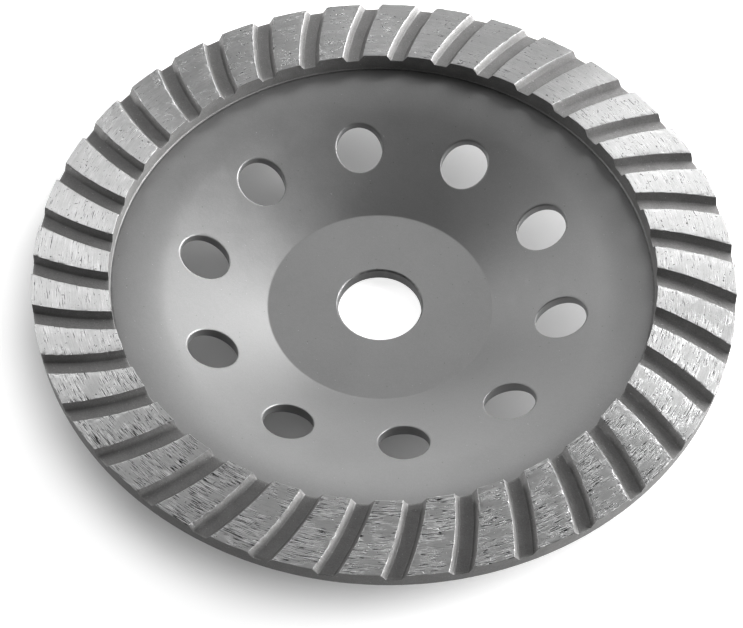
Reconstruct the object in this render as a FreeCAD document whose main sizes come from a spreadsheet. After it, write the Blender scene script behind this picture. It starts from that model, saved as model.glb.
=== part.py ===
"""A turbo-rim diamond cup wheel: a dished steel body with a sintered abrasive rim on it.

The wheel lies on the back of its hub with the working face up. The axis of the bore is the
Z axis, Z is zero on the back of the hub, and all sizes are millimetres or degrees.
"""
import FreeCAD
import Part
import Sketcher
import math
import os

UP = FreeCAD.Vector(0, 0, 1)
ALONG_Y = FreeCAD.Vector(0, 1, 0)
START = 1
END = 2
CENTRE = 3
ORIGIN = (-1, START)
GROUND_LINE = -1
EDGE_TOLERANCE = 0.001
EDGE_SAMPLES = 5
SLOPE_TOLERANCE = 1e-12
LEAST_SHARE_CUT = 0.001
FULL_TURN = 360
RIGHT_ANGLE = 90

SIZES = [
    # whole wheel
    ("overall_height", 24.0),
    # hub plate and bore
    ("bore_diameter", 22.23),
    ("bore_chamfer", 0.4),
    ("hub_thickness", 3.8),
    ("hub_disc_diameter", 59.5),
    ("hub_back_diameter", 67.0),
    # dish that climbs from the hub to the rim
    ("dish_blend_run", 14.75),
    ("dish_step", 0.7),
    ("web_thickness", 1.8),
    # steel flange that carries the rim
    ("flange_inset", 2.0),
    ("flange_chamfer", 1.0),
    # vent holes in the dish
    ("vent_count", 10),
    ("vent_diameter", 12.7),
    ("vent_circle_diameter", 95.0),
    ("vent_start_angle", 93.0),
    ("vent_edge_break", 0.3),
    # abrasive rim
    ("rim_diameter", 180.0),
    ("rim_width", 19.8),
    ("rim_height", 4.8),
    # swept grooves between the teeth
    ("groove_count", 36),
    ("groove_width", 5.5),
    ("groove_depth", 2.0),
    ("groove_draft_angle", 30.0),
    ("groove_arc_radius", 80.0),
    ("groove_skew_angle", 18.5),
    ("groove_start_angle", 0.3),
    ("groove_cutter_rise", 1.0),
]

# expressions that several features share
RIM_OUTER = "(Sizes.rim_diameter / 2)"
RIM_INNER = "(Sizes.rim_diameter / 2 - Sizes.rim_width)"
RIM_MIDDLE = "(Sizes.rim_diameter / 2 - Sizes.rim_width / 2)"
SEAT_HEIGHT = "(Sizes.overall_height - Sizes.rim_height)"
DISH_EDGE_HEIGHT = f"({SEAT_HEIGHT} - Sizes.dish_step)"
FLANGE_BACK_HEIGHT = f"({DISH_EDGE_HEIGHT} - Sizes.web_thickness)"
FLANGE_RADIUS = f"({RIM_OUTER} - Sizes.flange_inset)"
GROOVE_FACING = f"(Sizes.groove_start_angle + {RIGHT_ANGLE} - Sizes.groove_skew_angle)"
GROOVE_FLOOR_HEIGHT = "(Sizes.overall_height - Sizes.groove_depth)"
# twice the rim's width along the arc, so that the cut runs out past both walls
GROOVE_SWEEP = "2 rad * Sizes.rim_width / Sizes.groove_arc_radius"


def make_sheet(doc):
    """Writes the driving dimensions into one sheet, a name beside each number."""
    sheet = doc.addObject("Spreadsheet::Sheet", "Sizes")
    for row, (name, value) in enumerate(SIZES, start=1):
        sheet.set(f"A{row}", name)
        sheet.set(f"B{row}", str(value))
        sheet.setAlias(f"B{row}", name)
    doc.recompute()
    return sheet


def origin_item(body, role):
    """Returns the plane or axis of the body's own origin that has this role."""
    for item in body.Origin.OriginFeatures:
        if item.Role == role:
            return item
    raise ValueError(f"{body.Label} has no {role}")


def add_body(doc, name):
    """Makes an empty body whose label names its exported file."""
    body = doc.addObject("PartDesign::Body", name)
    body.Label = name
    return body


def add_sketch(body, name, role):
    """Attaches a new sketch to one of the body's origin planes."""
    sketch = body.newObject("Sketcher::SketchObject", name)
    sketch.AttachmentSupport = [(origin_item(body, role), "")]
    sketch.MapMode = "FlatFace"
    return sketch


def relate(sketch, kind, *args):
    """Adds a constraint without a size, such as Horizontal or Tangent."""
    return sketch.addConstraint(Sketcher.Constraint(kind, *args))


def measure(sketch, name, kind, args, start, expression):
    """Adds a dimension, starting from a near value, and ties it to the sheet."""
    index = sketch.addConstraint(Sketcher.Constraint(kind, *args, start))
    sketch.renameConstraint(index, name)
    sketch.setExpression(f"Constraints.{name}", expression)


def add_outline(sketch, points):
    """Draws a closed run of straight edges and returns the number of each edge."""
    edges = []
    for first, second in zip(points, points[1:] + points[:1]):
        edges.append(sketch.addGeometry(Part.LineSegment(first, second), False))
    for first, second in zip(edges, edges[1:] + edges[:1]):
        relate(sketch, "Coincident", first, END, second, START)
    return edges


def add_circle(sketch, centre, radius):
    """Draws one full circle and returns its number."""
    return sketch.addGeometry(Part.Circle(centre, UP, radius), False)


def tangent_point(start, centre, radius):
    """Returns where the upper line from a point touches a circle."""
    reach = centre - start
    heading = math.atan2(reach.y, reach.x) + math.asin(radius / reach.Length)
    length = math.sqrt(reach.Length ** 2 - radius ** 2)
    return start + FreeCAD.Vector(math.cos(heading), math.sin(heading), 0) * length


def cone_slope(run, rise, blend_run):
    """Returns the angle of a cone that climbs the rise and levels off over the last of its run."""
    low = 0
    high = math.pi / 2
    while high - low > SLOPE_TOLERANCE:
        middle = (low + high) / 2
        climb = (run - blend_run) * math.tan(middle) + blend_run * math.tan(middle / 2)
        if climb < rise:
            low = middle
        else:
            high = middle
    return low


def heading_of(point, centre):
    """Returns the angle, in radians, at which a point lies from a centre."""
    return math.atan2(point.y - centre.y, point.x - centre.x)


def draw_body_section(sketch, sizes):
    """Draws half of the steel body's section: X is the radius and Y is the height."""
    bore = sizes.bore_diameter / 2
    chamfer = sizes.bore_chamfer
    inner = sizes.rim_diameter / 2 - sizes.rim_width
    outer = sizes.rim_diameter / 2 - sizes.flange_inset
    seat = sizes.overall_height - sizes.rim_height
    edge = seat - sizes.dish_step
    back = edge - sizes.web_thickness
    corner = sizes.flange_chamfer

    hub_back_edge = FreeCAD.Vector(sizes.hub_back_diameter / 2, 0, 0)
    hub_front_edge = FreeCAD.Vector(sizes.hub_disc_diameter / 2, sizes.hub_thickness, 0)
    slope = cone_slope(inner - hub_front_edge.x, edge - hub_front_edge.y, sizes.dish_blend_run)
    front_radius = sizes.dish_blend_run / math.sin(slope)
    centre = FreeCAD.Vector(inner, edge - front_radius, 0)
    back_radius = back - centre.y
    back_touch = tangent_point(hub_back_edge, centre, back_radius)
    front_touch = tangent_point(hub_front_edge, centre, front_radius)
    upright = math.pi / 2

    bore_back = FreeCAD.Vector(bore + chamfer, 0, 0)
    hub_back = sketch.addGeometry(Part.LineSegment(bore_back, hub_back_edge), False)
    back_cone = sketch.addGeometry(Part.LineSegment(hub_back_edge, back_touch), False)
    back_arc = sketch.addGeometry(
        Part.ArcOfCircle(Part.Circle(centre, UP, back_radius), upright, heading_of(back_touch, centre)),
        False,
    )
    walls = [
        FreeCAD.Vector(inner, back, 0),
        FreeCAD.Vector(outer - corner, back, 0),
        FreeCAD.Vector(outer, back + corner, 0),
        FreeCAD.Vector(outer, seat, 0),
        FreeCAD.Vector(inner, seat, 0),
        FreeCAD.Vector(inner, edge, 0),
    ]
    flange_back, flange_corner, flange_wall, seat_face, step_wall = [
        sketch.addGeometry(Part.LineSegment(first, second), False)
        for first, second in zip(walls, walls[1:])
    ]
    front_arc = sketch.addGeometry(
        Part.ArcOfCircle(
            Part.Circle(centre, UP, front_radius), upright, heading_of(front_touch, centre)
        ),
        False,
    )
    hub_points = [
        front_touch,
        hub_front_edge,
        FreeCAD.Vector(bore + chamfer, sizes.hub_thickness, 0),
        FreeCAD.Vector(bore, sizes.hub_thickness - chamfer, 0),
        FreeCAD.Vector(bore, chamfer, 0),
        bore_back,
    ]
    front_cone, hub_front, front_chamfer, bore_wall, back_chamfer = [
        sketch.addGeometry(Part.LineSegment(first, second), False)
        for first, second in zip(hub_points, hub_points[1:])
    ]

    chain = [
        (hub_back, END, back_cone, START),
        (back_arc, START, flange_back, START),
        (flange_back, END, flange_corner, START),
        (flange_corner, END, flange_wall, START),
        (flange_wall, END, seat_face, START),
        (seat_face, END, step_wall, START),
        (step_wall, END, front_arc, START),
        (front_cone, END, hub_front, START),
        (hub_front, END, front_chamfer, START),
        (front_chamfer, END, bore_wall, START),
        (bore_wall, END, back_chamfer, START),
        (back_chamfer, END, hub_back, START),
        (back_arc, CENTRE, front_arc, CENTRE),
    ]
    for joint in chain:
        relate(sketch, "Coincident", *joint)
    relate(sketch, "Tangent", back_cone, END, back_arc, END)
    relate(sketch, "Tangent", front_arc, END, front_cone, START)
    relate(sketch, "Vertical", back_arc, CENTRE, back_arc, START)
    relate(sketch, "Vertical", front_arc, CENTRE, front_arc, START)
    relate(sketch, "PointOnObject", hub_back, START, GROUND_LINE)
    for level in (hub_back, flange_back, seat_face, hub_front):
        relate(sketch, "Horizontal", level)
    for wall in (flange_wall, bore_wall, step_wall):
        relate(sketch, "Vertical", wall)

    def across(name, first, second, start, expression):
        measure(sketch, name, "DistanceX", (*first, *second), start, expression)

    def rising(name, first, second, start, expression):
        measure(sketch, name, "DistanceY", (*first, *second), start, expression)

    across("bore_radius", ORIGIN, (bore_wall, END), bore, "Sizes.bore_diameter / 2")
    across("back_chamfer_run", (bore_wall, END), (hub_back, START), chamfer, "Sizes.bore_chamfer")
    rising("back_chamfer_rise", ORIGIN, (bore_wall, END), chamfer, "Sizes.bore_chamfer")
    across("front_chamfer_run", (bore_wall, START), (hub_front, END), chamfer, "Sizes.bore_chamfer")
    rising("front_chamfer_rise", (bore_wall, START), (hub_front, END), chamfer, "Sizes.bore_chamfer")
    across("hub_back_radius", ORIGIN, (hub_back, END), hub_back_edge.x, "Sizes.hub_back_diameter / 2")
    across("hub_front_radius", ORIGIN, (front_cone, END), hub_front_edge.x, "Sizes.hub_disc_diameter / 2")
    rising("hub_height", ORIGIN, (front_cone, END), hub_front_edge.y, "Sizes.hub_thickness")
    across("dish_edge_radius", ORIGIN, (front_arc, START), inner, RIM_INNER)
    rising("dish_edge_height", ORIGIN, (front_arc, START), edge, DISH_EDGE_HEIGHT)
    across("blend_run", (front_arc, END), (front_arc, START), sizes.dish_blend_run, "Sizes.dish_blend_run")
    rising("flange_back_height", ORIGIN, (back_arc, START), back, FLANGE_BACK_HEIGHT)
    across("flange_radius", ORIGIN, (flange_wall, END), outer, FLANGE_RADIUS)
    rising("seat_height", ORIGIN, (flange_wall, END), seat, SEAT_HEIGHT)
    across("corner_run", (flange_corner, START), (flange_corner, END), corner, "Sizes.flange_chamfer")
    rising("corner_rise", (flange_corner, START), (flange_corner, END), corner, "Sizes.flange_chamfer")


def vent_edges(shape, sizes):
    """Names the edges where the vent holes break through the dish."""
    names = []
    for number, edge in enumerate(shape.Edges, start=1):
        if isinstance(edge.Curve, Part.Line):
            continue
        for index in range(int(sizes.vent_count)):
            turn = math.radians(sizes.vent_start_angle) + 2 * math.pi * index / sizes.vent_count
            centre_x = sizes.vent_circle_diameter / 2 * math.cos(turn)
            centre_y = sizes.vent_circle_diameter / 2 * math.sin(turn)
            offsets = [
                abs(math.hypot(p.x - centre_x, p.y - centre_y) - sizes.vent_diameter / 2)
                for p in edge.discretize(EDGE_SAMPLES)
            ]
            if max(offsets) < EDGE_TOLERANCE:
                names.append(f"Edge{number}")
    return names


def turn_body(doc, body):
    """Turns the section of the steel body once round the bore's axis."""
    section = add_sketch(body, "body_section", "XZ_Plane")
    draw_body_section(section, doc.Sizes)
    turned = body.newObject("PartDesign::Revolution", "body_turning")
    turned.Profile = section
    turned.ReferenceAxis = (section, ["V_Axis"])
    turned.Angle = FULL_TURN
    doc.recompute()
    return turned


def drill_vents(doc, body):
    """Drills the ring of vent holes and breaks their edges."""
    sizes = doc.Sizes
    sketch = add_sketch(body, "vent_place", "XY_Plane")
    turn = math.radians(sizes.vent_start_angle)
    reach = sizes.vent_circle_diameter / 2
    centre = FreeCAD.Vector(reach * math.cos(turn), reach * math.sin(turn), 0)
    arm = sketch.addGeometry(Part.LineSegment(FreeCAD.Vector(0, 0, 0), centre), True)
    circle = add_circle(sketch, centre, sizes.vent_diameter / 2)
    relate(sketch, "Coincident", arm, START, *ORIGIN)
    relate(sketch, "Coincident", arm, END, circle, CENTRE)
    measure(sketch, "vent_reach", "Distance", (arm,), reach, "Sizes.vent_circle_diameter / 2")
    measure(sketch, "vent_turn", "Angle", (arm,), turn, "Sizes.vent_start_angle * 1 deg")
    measure(sketch, "vent_radius", "Radius", (circle,), sizes.vent_diameter / 2, "Sizes.vent_diameter / 2")

    hole = body.newObject("PartDesign::Pocket", "vent_hole")
    hole.Profile = sketch
    hole.Type = "ThroughAll"
    hole.Reversed = True
    doc.recompute()

    ring = body.newObject("PartDesign::PolarPattern", "vent_ring")
    ring.Originals = [hole]
    ring.Axis = (origin_item(body, "Z_Axis"), [""])
    ring.Angle = FULL_TURN
    ring.Occurrences = int(sizes.vent_count)
    ring.setExpression("Occurrences", "Sizes.vent_count")
    body.Tip = ring
    doc.recompute()

    broken = body.newObject("PartDesign::Chamfer", "vent_edge_break")
    broken.Base = (ring, vent_edges(ring.Shape, sizes))
    broken.setExpression("Size", "Sizes.vent_edge_break")
    body.Tip = broken
    doc.recompute()
    return hole


def make_steel_body(doc):
    """The dished carrier: a flat hub with the bore, a conical web and the rim's flange."""
    body = add_body(doc, "steel_body")
    turned = turn_body(doc, body)
    drill_vents(doc, body)
    check_cut(turned, body)
    return body


def press_rim_blank(doc, body):
    """The plain rim before its grooves, seated on the flange."""
    sizes = doc.Sizes
    sketch = add_sketch(body, "rim_section", "XY_Plane")
    sketch.setExpression("AttachmentOffset.Base.z", SEAT_HEIGHT)
    outer = add_circle(sketch, FreeCAD.Vector(0, 0, 0), sizes.rim_diameter / 2)
    inner = add_circle(sketch, FreeCAD.Vector(0, 0, 0), sizes.rim_diameter / 2 - sizes.rim_width)
    for circle in (outer, inner):
        relate(sketch, "Coincident", circle, CENTRE, *ORIGIN)
    measure(sketch, "rim_outer", "Radius", (outer,), sizes.rim_diameter / 2, RIM_OUTER)
    measure(sketch, "rim_inner", "Radius", (inner,), sizes.rim_diameter / 2 - sizes.rim_width, RIM_INNER)
    blank = body.newObject("PartDesign::Pad", "rim_blank")
    blank.Profile = sketch
    blank.setExpression("Length", "Sizes.rim_height")
    doc.recompute()
    return blank


def draw_groove_section(sketch, sizes):
    """Draws the groove's drafted section, with its arc's axis as the sketch's own Y axis."""
    slope = math.tan(math.radians(sizes.groove_draft_angle))
    floor_half = sizes.groove_width / 2 - sizes.groove_depth * slope
    mouth_half = sizes.groove_width / 2 + sizes.groove_cutter_rise * slope
    floor = sizes.overall_height - sizes.groove_depth
    mouth = sizes.overall_height + sizes.groove_cutter_rise
    corners = [
        ("inner_floor", sizes.groove_arc_radius - floor_half, floor),
        ("outer_floor", sizes.groove_arc_radius + floor_half, floor),
        ("outer_mouth", sizes.groove_arc_radius + mouth_half, mouth),
        ("inner_mouth", sizes.groove_arc_radius - mouth_half, mouth),
    ]
    edges = add_outline(sketch, [FreeCAD.Vector(x, y, 0) for _, x, y in corners])
    slope_text = "tan(Sizes.groove_draft_angle * 1 deg)"
    floor_text = f"(Sizes.groove_width / 2 - Sizes.groove_depth * {slope_text})"
    mouth_text = f"(Sizes.groove_width / 2 + Sizes.groove_cutter_rise * {slope_text})"
    mouth_height = "(Sizes.overall_height + Sizes.groove_cutter_rise)"
    places = {
        "inner_floor": (f"Sizes.groove_arc_radius - {floor_text}", GROOVE_FLOOR_HEIGHT),
        "outer_floor": (f"Sizes.groove_arc_radius + {floor_text}", GROOVE_FLOOR_HEIGHT),
        "outer_mouth": (f"Sizes.groove_arc_radius + {mouth_text}", mouth_height),
        "inner_mouth": (f"Sizes.groove_arc_radius - {mouth_text}", mouth_height),
    }
    for edge, (name, x, y) in zip(edges, corners):
        reach, height = places[name]
        measure(sketch, f"{name}_reach", "DistanceX", (*ORIGIN, edge, START), x, reach)
        measure(sketch, f"{name}_height", "DistanceY", (*ORIGIN, edge, START), y, height)


def place_groove_sketch(sketch, sizes):
    """Moves the groove's sketch to its arc's axis and turns it to face the rim."""
    facing = sizes.groove_start_angle + RIGHT_ANGLE - sizes.groove_skew_angle
    sketch.AttachmentOffset = FreeCAD.Placement(
        FreeCAD.Vector(0, 0, 0), FreeCAD.Rotation(ALONG_Y, facing)
    )
    start = "Sizes.groove_start_angle * 1 deg"
    turn = f"{GROOVE_FACING} * 1 deg"
    axis_x = f"{RIM_MIDDLE} * cos({start}) - Sizes.groove_arc_radius * cos({turn})"
    axis_y = f"{RIM_MIDDLE} * sin({start}) - Sizes.groove_arc_radius * sin({turn})"
    sketch.setExpression("AttachmentOffset.Base.x", axis_x)
    sketch.setExpression("AttachmentOffset.Base.z", f"-({axis_y})")
    sketch.setExpression("AttachmentOffset.Rotation.Angle", turn)


def cut_grooves(doc, body):
    """Cuts one swept groove through the rim's face and repeats it round the wheel."""
    sizes = doc.Sizes
    sketch = add_sketch(body, "groove_section", "XZ_Plane")
    place_groove_sketch(sketch, sizes)
    draw_groove_section(sketch, sizes)
    groove = body.newObject("PartDesign::Groove", "turbo_groove")
    groove.Profile = sketch
    groove.ReferenceAxis = (sketch, ["V_Axis"])
    groove.Midplane = True
    groove.setExpression("Angle", GROOVE_SWEEP)
    doc.recompute()

    ring = body.newObject("PartDesign::PolarPattern", "groove_ring")
    ring.Originals = [groove]
    ring.Axis = (origin_item(body, "Z_Axis"), [""])
    ring.Angle = FULL_TURN
    ring.Occurrences = int(sizes.groove_count)
    ring.setExpression("Occurrences", "Sizes.groove_count")
    body.Tip = ring
    doc.recompute()
    return groove


def make_abrasive_rim(doc):
    """The sintered rim: one ring, whole under its swept grooves."""
    body = add_body(doc, "abrasive_rim")
    blank = press_rim_blank(doc, body)
    cut_grooves(doc, body)
    check_cut(blank, body)
    return body


def check_cut(before, body):
    """Stops if the cuts on a body took nothing away."""
    if not body.Shape.Volume < before.Shape.Volume * (1 - LEAST_SHARE_CUT):
        raise ValueError(f"the cuts on {body.Label} removed nothing")


def check_document(doc, bodies):
    """Stops if any object failed or any sub-part is empty or not a valid solid."""
    for item in doc.Objects:
        if "Invalid" in item.State or "Error" in item.State:
            raise ValueError(f"{item.Name} failed: {item.State}")
    for body in bodies:
        shape = body.Shape
        if shape.isNull() or not shape.isValid() or len(shape.Solids) != 1:
            raise ValueError(f"{body.Label} is not one valid solid")
        print(body.Label, f"{shape.Volume:.1f} mm3", shape.BoundBox)


def main():
    """Builds both pieces and writes one file for each."""
    os.makedirs("parts", exist_ok=True)
    doc = FreeCAD.newDocument("diamond_cup_wheel")
    make_sheet(doc)
    bodies = [make_steel_body(doc), make_abrasive_rim(doc)]
    doc.recompute()
    check_document(doc, bodies)
    for body in bodies:
        body.Shape.exportStep(f"parts/{body.Label}.step")


main()
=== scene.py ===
"""Dresses a diamond cup wheel: a dished, painted steel body under a sintered, grooved rim.

The wheel lies on the back of its hub with the working face up. The axis of the bore is Z, and
the camera stands on the -Y side. Sizes in the classes are millimetres and degrees, and meshes
are written in metres.
"""
import logging
import math
from dataclasses import dataclass, field
from enum import Enum
from typing import Any, Iterable

import bpy
import numpy as np
from mathutils import Matrix, Vector


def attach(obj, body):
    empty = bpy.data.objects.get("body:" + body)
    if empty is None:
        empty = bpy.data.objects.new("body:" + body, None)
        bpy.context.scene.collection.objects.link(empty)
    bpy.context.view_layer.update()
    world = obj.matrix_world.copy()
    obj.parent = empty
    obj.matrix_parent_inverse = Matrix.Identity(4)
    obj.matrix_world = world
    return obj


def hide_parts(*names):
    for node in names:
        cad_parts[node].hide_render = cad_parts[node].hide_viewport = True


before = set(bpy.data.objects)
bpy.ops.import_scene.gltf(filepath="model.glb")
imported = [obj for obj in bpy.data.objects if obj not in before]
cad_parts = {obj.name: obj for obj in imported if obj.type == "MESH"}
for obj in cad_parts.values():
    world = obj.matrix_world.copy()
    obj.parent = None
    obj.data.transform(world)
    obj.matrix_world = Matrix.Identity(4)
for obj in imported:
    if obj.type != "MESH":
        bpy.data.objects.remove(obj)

MM = 0.001
BODY = "root"
# Where the steel body and the rim meet, in millimetres
RIM_INNER = 70.2
SEAT_HEIGHT = 19.2
# The share of the backdrop that reflections show on the camera's side
NEAR_REFLECTION = 0.04
# A length in millimetres below which two places are the same
TINY = 1e-6
# Where a smooth step starts and where it is whole
Span = tuple[float, float]

log = logging.getLogger("cup_wheel")


class Slot(Enum):
    """The record's material slots."""

    PAINT = "body_paint"
    MATRIX = "sintered_matrix"


class Node(Enum):
    """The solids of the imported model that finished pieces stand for."""

    STEEL = "steel_body"
    RIM = "abrasive_rim"


class Edge(Enum):
    """Named attributes that the meshes carry for the node trees."""

    CHIP = "chip"


# Node trees as expressions


class Wire:
    """One value in a node tree, with the arithmetic that the finishes and trees use."""

    def __init__(self, graph: "Graph", socket: bpy.types.NodeSocket) -> None:
        """Wraps an output socket.

        Args:
            graph: The tree that the socket belongs to.
            socket: The output socket.
        """
        self.graph = graph
        self.socket = socket

    def _math(self, operation: str, first: Any, second: Any) -> "Wire":
        """Adds a Math node.

        Args:
            operation: The node's operation.
            first: The first value or wire.
            second: The second value or wire.

        Returns:
            The result.
        """
        return self.graph.add("ShaderNodeMath", {"operation": operation}, {0: first, 1: second})

    def __add__(self, other: Any) -> "Wire":
        """Returns self + other."""
        return self._math("ADD", self, other)

    def __radd__(self, other: Any) -> "Wire":
        """Returns other + self."""
        return self._math("ADD", other, self)

    def __sub__(self, other: Any) -> "Wire":
        """Returns self - other."""
        return self._math("SUBTRACT", self, other)

    def __rsub__(self, other: Any) -> "Wire":
        """Returns other - self."""
        return self._math("SUBTRACT", other, self)

    def __mul__(self, other: Any) -> "Wire":
        """Returns self * other."""
        return self._math("MULTIPLY", self, other)

    def __rmul__(self, other: Any) -> "Wire":
        """Returns other * self."""
        return self._math("MULTIPLY", other, self)

    def __truediv__(self, other: Any) -> "Wire":
        """Returns self / other."""
        return self._math("DIVIDE", self, other)

    def __rtruediv__(self, other: Any) -> "Wire":
        """Returns other / self."""
        return self._math("DIVIDE", other, self)

    def __pow__(self, other: Any) -> "Wire":
        """Returns self to the power of other."""
        return self._math("POWER", self, other)

    def floored(self) -> "Wire":
        """Returns self, or 0 where it is negative."""
        return self._math("MAXIMUM", self, 0.0)

    def swing(self, share: float) -> "Wire":
        """Returns a noise moved to 0 on average, times a share."""
        return (self - 0.5) * share

    def ramp(self, start: float, end: float) -> "Wire":
        """Returns a smooth step that is 0 at start and 1 at end.

        Args:
            start: The value at which the step begins.
            end: The value at which it is whole.

        Returns:
            The step.
        """
        return self.graph.add(
            "ShaderNodeMapRange",
            {"interpolation_type": "SMOOTHSTEP"},
            {"Value": self, "From Min": start, "From Max": end, "To Min": 0.0, "To Max": 1.0},
        )


class Graph:
    """A node tree that nodes are added to by type, settings and values."""

    def __init__(self, tree: bpy.types.NodeTree) -> None:
        """Wraps a tree.

        Args:
            tree: A shader or geometry node tree.
        """
        self.tree = tree

    def node(
        self, kind: str, settings: dict[str, Any] | None = None, values: dict[Any, Any] | None = None
    ) -> bpy.types.Node:
        """Adds one node.

        Args:
            kind: The node's type.
            settings: Its own settings, which are set first.
            values: Its sockets by name or number, each a value or a wire.

        Returns:
            The node.
        """
        node = self.tree.nodes.new(kind)
        for name, value in (settings or {}).items():
            setattr(node, name, value)
        for name, value in (values or {}).items():
            socket = node.inputs[name]
            if isinstance(value, Wire):
                self.tree.links.new(value.socket, socket)
            else:
                socket.default_value = value
        return node

    def add(
        self,
        kind: str,
        settings: dict[str, Any] | None = None,
        values: dict[Any, Any] | None = None,
        out: Any = 0,
    ) -> Wire:
        """Adds one node and returns one of its outputs.

        Args:
            kind: The node's type.
            settings: Its own settings.
            values: Its sockets by name or number.
            out: The output's name or number.

        Returns:
            The output.
        """
        return Wire(self, self.node(kind, settings, values).outputs[out])

    def blend(self, factor: Any, first: Any, second: Any) -> Wire:
        """Mixes two colours.

        Args:
            factor: 0 for the first colour and 1 for the second.
            first: A colour or wire.
            second: A colour or wire.

        Returns:
            The mixed colour.
        """
        node = self.node("ShaderNodeMix", {"data_type": "RGBA"})
        for number, value in ((0, factor), (6, first), (7, second)):
            if isinstance(value, Wire):
                self.tree.links.new(value.socket, node.inputs[number])
            else:
                node.inputs[number].default_value = value
        return Wire(self, node.outputs[2])

    def scale(self, vector: Any, factor: Any) -> Wire:
        """Returns a vector times a number."""
        return self.add("ShaderNodeVectorMath", {"operation": "SCALE"}, {0: vector, "Scale": factor})

    def shift(self, vector: Wire, offset: tuple[float, float, float]) -> Wire:
        """Returns a vector plus an offset."""
        return self.add("ShaderNodeVectorMath", {"operation": "ADD"}, {0: vector, 1: offset})

    def length(self, vector: Wire) -> Wire:
        """Returns the length of a vector."""
        return self.add("ShaderNodeVectorMath", {"operation": "LENGTH"}, {0: vector}, "Value")

    def parts(self, vector: Wire, axes: str) -> tuple[Wire, ...]:
        """Returns the parts of a vector along some axes, such as XY."""
        split = self.node("ShaderNodeSeparateXYZ", {}, {"Vector": vector})
        return tuple(Wire(self, split.outputs[axis]) for axis in axes)

    def join(self, **parts: Any) -> Wire:
        """Returns a vector with the given X, Y and Z, and 0 for the others."""
        return self.add("ShaderNodeCombineXYZ", {}, parts)

    def radius(self, place: Wire) -> Wire:
        """Returns how far a place is from the wheel's axis."""
        x, y = self.parts(place, "XY")
        return (x * x + y * y) ** 0.5

    def bump(self, height: Wire) -> Wire:
        """Returns the normal of a surface with a height in millimetres."""
        return self.add("ShaderNodeBump", {}, {"Strength": 1.0, "Distance": MM, "Height": height})

    def noise(self, vector: Wire, size: Any, detail: float, seed: Any) -> Wire:
        """Adds a noise whose lumps have a given size.

        Args:
            vector: Where the noise is read.
            size: The size of its lumps, in the vector's unit.
            detail: Its octaves.
            seed: The fourth coordinate.

        Returns:
            The noise, about 0.5 on average.
        """
        return self.add(
            "ShaderNodeTexNoise",
            {"noise_dimensions": "4D"},
            {"Vector": vector, "W": seed, "Scale": 1.0 / size, "Detail": detail},
        )

    def cells(self, vector: Wire, size: float) -> tuple[Wire, Wire]:
        """Adds scattered points on the XY plane, one in each cell.

        Args:
            vector: Where the cells are read.
            size: The size of a cell, in the vector's unit.

        Returns:
            The distance to the nearest point, in cells, and a random number for each cell.
        """
        cells = self.node(
            "ShaderNodeTexVoronoi",
            {"feature": "F1", "voronoi_dimensions": "2D"},
            {"Vector": vector, "Scale": 1.0 / size},
        )
        colour = Wire(self, cells.outputs["Color"])
        choice = self.add("ShaderNodeSeparateColor", {}, {"Color": colour})
        return Wire(self, cells.outputs["Distance"]), choice


def grey(level: float) -> tuple[float, float, float, float]:
    """Returns an opaque grey of a linear level."""
    return (level, level, level, 1.0)


def tint(level: float, warmth: float = 0.0) -> tuple[float, float, float, float]:
    """Returns an opaque near-grey.

    Args:
        level: The linear level.
        warmth: How far red is above blue, as a share of the level.

    Returns:
        The colour.
    """
    return (level * (1 + warmth / 2), level, level * (1 - warmth / 2), 1.0)


def seen_ray(graph: Graph, behind: Wire) -> Wire:
    """Returns 1 on the rays that see the backdrop: camera, glossy and transmission rays.

    Args:
        graph: The graph that it is for.
        behind: 1 behind the wheel and 0 on the camera's side, where reflections find it dim.

    Returns:
        The mask.
    """
    ways = graph.node("ShaderNodeLightPath")
    names = ("Is Camera Ray", "Is Glossy Ray", "Is Transmission Ray")
    camera, glossy, through = (Wire(graph, ways.outputs[name]) for name in names)
    strength = NEAR_REFLECTION + (1.0 - NEAR_REFLECTION) * behind
    return (camera + (glossy + through) * strength).ramp(0.0, 1.0)


# Finishes


class Finish:
    """What all finishes share: a material with one tree that ends in one surface shader."""

    name = "finish"

    def start(self) -> tuple[bpy.types.Material, Graph, Wire]:
        """Makes the material.

        Returns:
            The material, its graph, and the object's own coordinates in millimetres.
        """
        material = bpy.data.materials.new(self.name)
        material.use_nodes = True
        material.node_tree.nodes.clear()
        graph = Graph(material.node_tree)
        place = graph.add("ShaderNodeTexCoord", out="Object")
        return material, graph, graph.scale(place, 1.0 / MM)

    def end(self, graph: Graph, values: dict[str, Any]) -> None:
        """Adds the surface shader and the output.

        Args:
            graph: The material's graph.
            values: The shader's sockets.
        """
        surface = graph.add("ShaderNodeBsdfPrincipled", {}, values)
        graph.node("ShaderNodeOutputMaterial", {}, {"Surface": surface})


@dataclass(frozen=True)
class Lumps:
    """A noise in a finish: the size of its lumps in millimetres, its octaves and its seed."""

    size: float
    detail: float
    seed: float

    def read(self, graph: Graph, place: Wire) -> Wire:
        """Returns the noise at a place."""
        return graph.noise(place, self.size, self.detail, self.seed)


@dataclass(frozen=True)
class Streaks:
    """A noise drawn out round the wheel, with the length and width of its lumps in millimetres."""

    along: float
    across: float
    detail: float
    seed: float
    mean_radius: float = 80.0

    def read(self, graph: Graph, place: Wire) -> Wire:
        """Adds the noise, with no seam round the wheel.

        Args:
            graph: The material's graph.
            place: The object's own coordinates in millimetres.

        Returns:
            The noise, about 0.5 on average.
        """
        x, y = graph.parts(place, "XY")
        radius = graph.radius(place)
        reach = self.mean_radius / self.along
        drawn = graph.join(X=x / radius * reach, Y=y / radius * reach, Z=radius / self.across)
        return graph.noise(drawn, 1.0, self.detail, self.seed)


@dataclass(frozen=True)
class Specks:
    """Specks that stand on a finish: which cells have one, how far it reaches, and its colour."""

    choice: Span
    reach: Span
    cover: float
    level: float


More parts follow.
